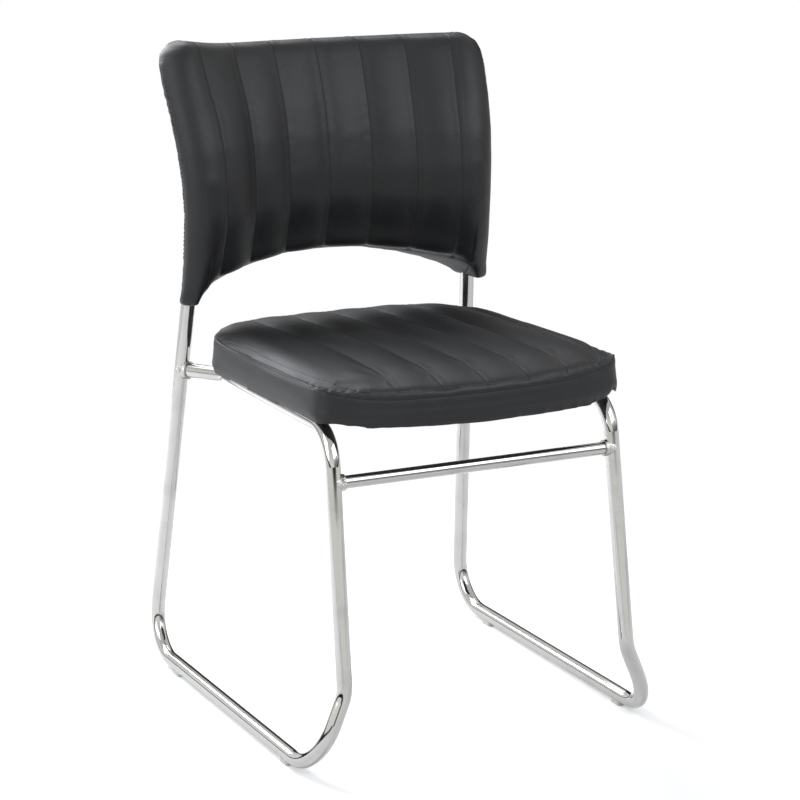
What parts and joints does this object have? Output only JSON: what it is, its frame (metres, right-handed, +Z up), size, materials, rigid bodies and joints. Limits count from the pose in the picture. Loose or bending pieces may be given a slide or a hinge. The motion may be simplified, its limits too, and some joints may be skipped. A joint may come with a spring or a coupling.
{
  "type": "stacking office chair",
  "caption": "Armless visitor chair on a bent chromed tube sled base, with a channelled black upholstered seat pad and a matching back sleeve over the uprights",
  "frame": {"origin": "on the floor, under the middle of the chair's bounding box", "axes": "+Z up, +X to the right as seen from the front, the sitter faces -Y"},
  "size_m": [0.4886, 0.5397, 0.832],
  "materials": {
    "chrome_tube": "mirror-bright plating",
    "strap_steel": "satin black",
    "weld_bead": "heat-tinted weld",
    "glide_plastic": "milky, slightly translucent",
    "plug_plastic": "moulded",
    "plywood": "bare plywood",
    "zinc_steel": "zinc plated",
    "foam": "open-cell foam",
    "cover_leather": "fine-grained coated fabric, satin",
    "lining_cloth": "non-woven"
  },
  "bodies": {
    "root": {"left_side_frame": "chrome_tube", "right_side_frame": "chrome_tube", "front_cross_bar": "chrome_tube", "front_seat_strap": "strap_steel", "rear_seat_strap": "strap_steel", "cross_bar_weld_left": "weld_bead", "cross_bar_weld_right": "weld_bead", "rail_weld_left": "weld_bead", "rail_weld_right": "weld_bead", "glide_front_left": "glide_plastic", "glide_front_right": "glide_plastic", "glide_rear_left": "glide_plastic", "glide_rear_right": "glide_plastic", "upright_plug_left": "plug_plastic", "upright_plug_right": "plug_plastic", "seat_board": "plywood", "seat_t_nuts": "zinc_steel", "seat_screws": "zinc_steel", "seat_washers": "zinc_steel", "seat_foam": "foam", "seat_top_panel": "cover_leather", "seat_side_band": "cover_leather", "seat_dust_cover": "lining_cloth", "back_board": "plywood", "back_screws": "zinc_steel", "back_foam": "foam", "back_front_cover": "cover_leather", "back_rear_cover": "cover_leather"}
  },
  "joints": []
}
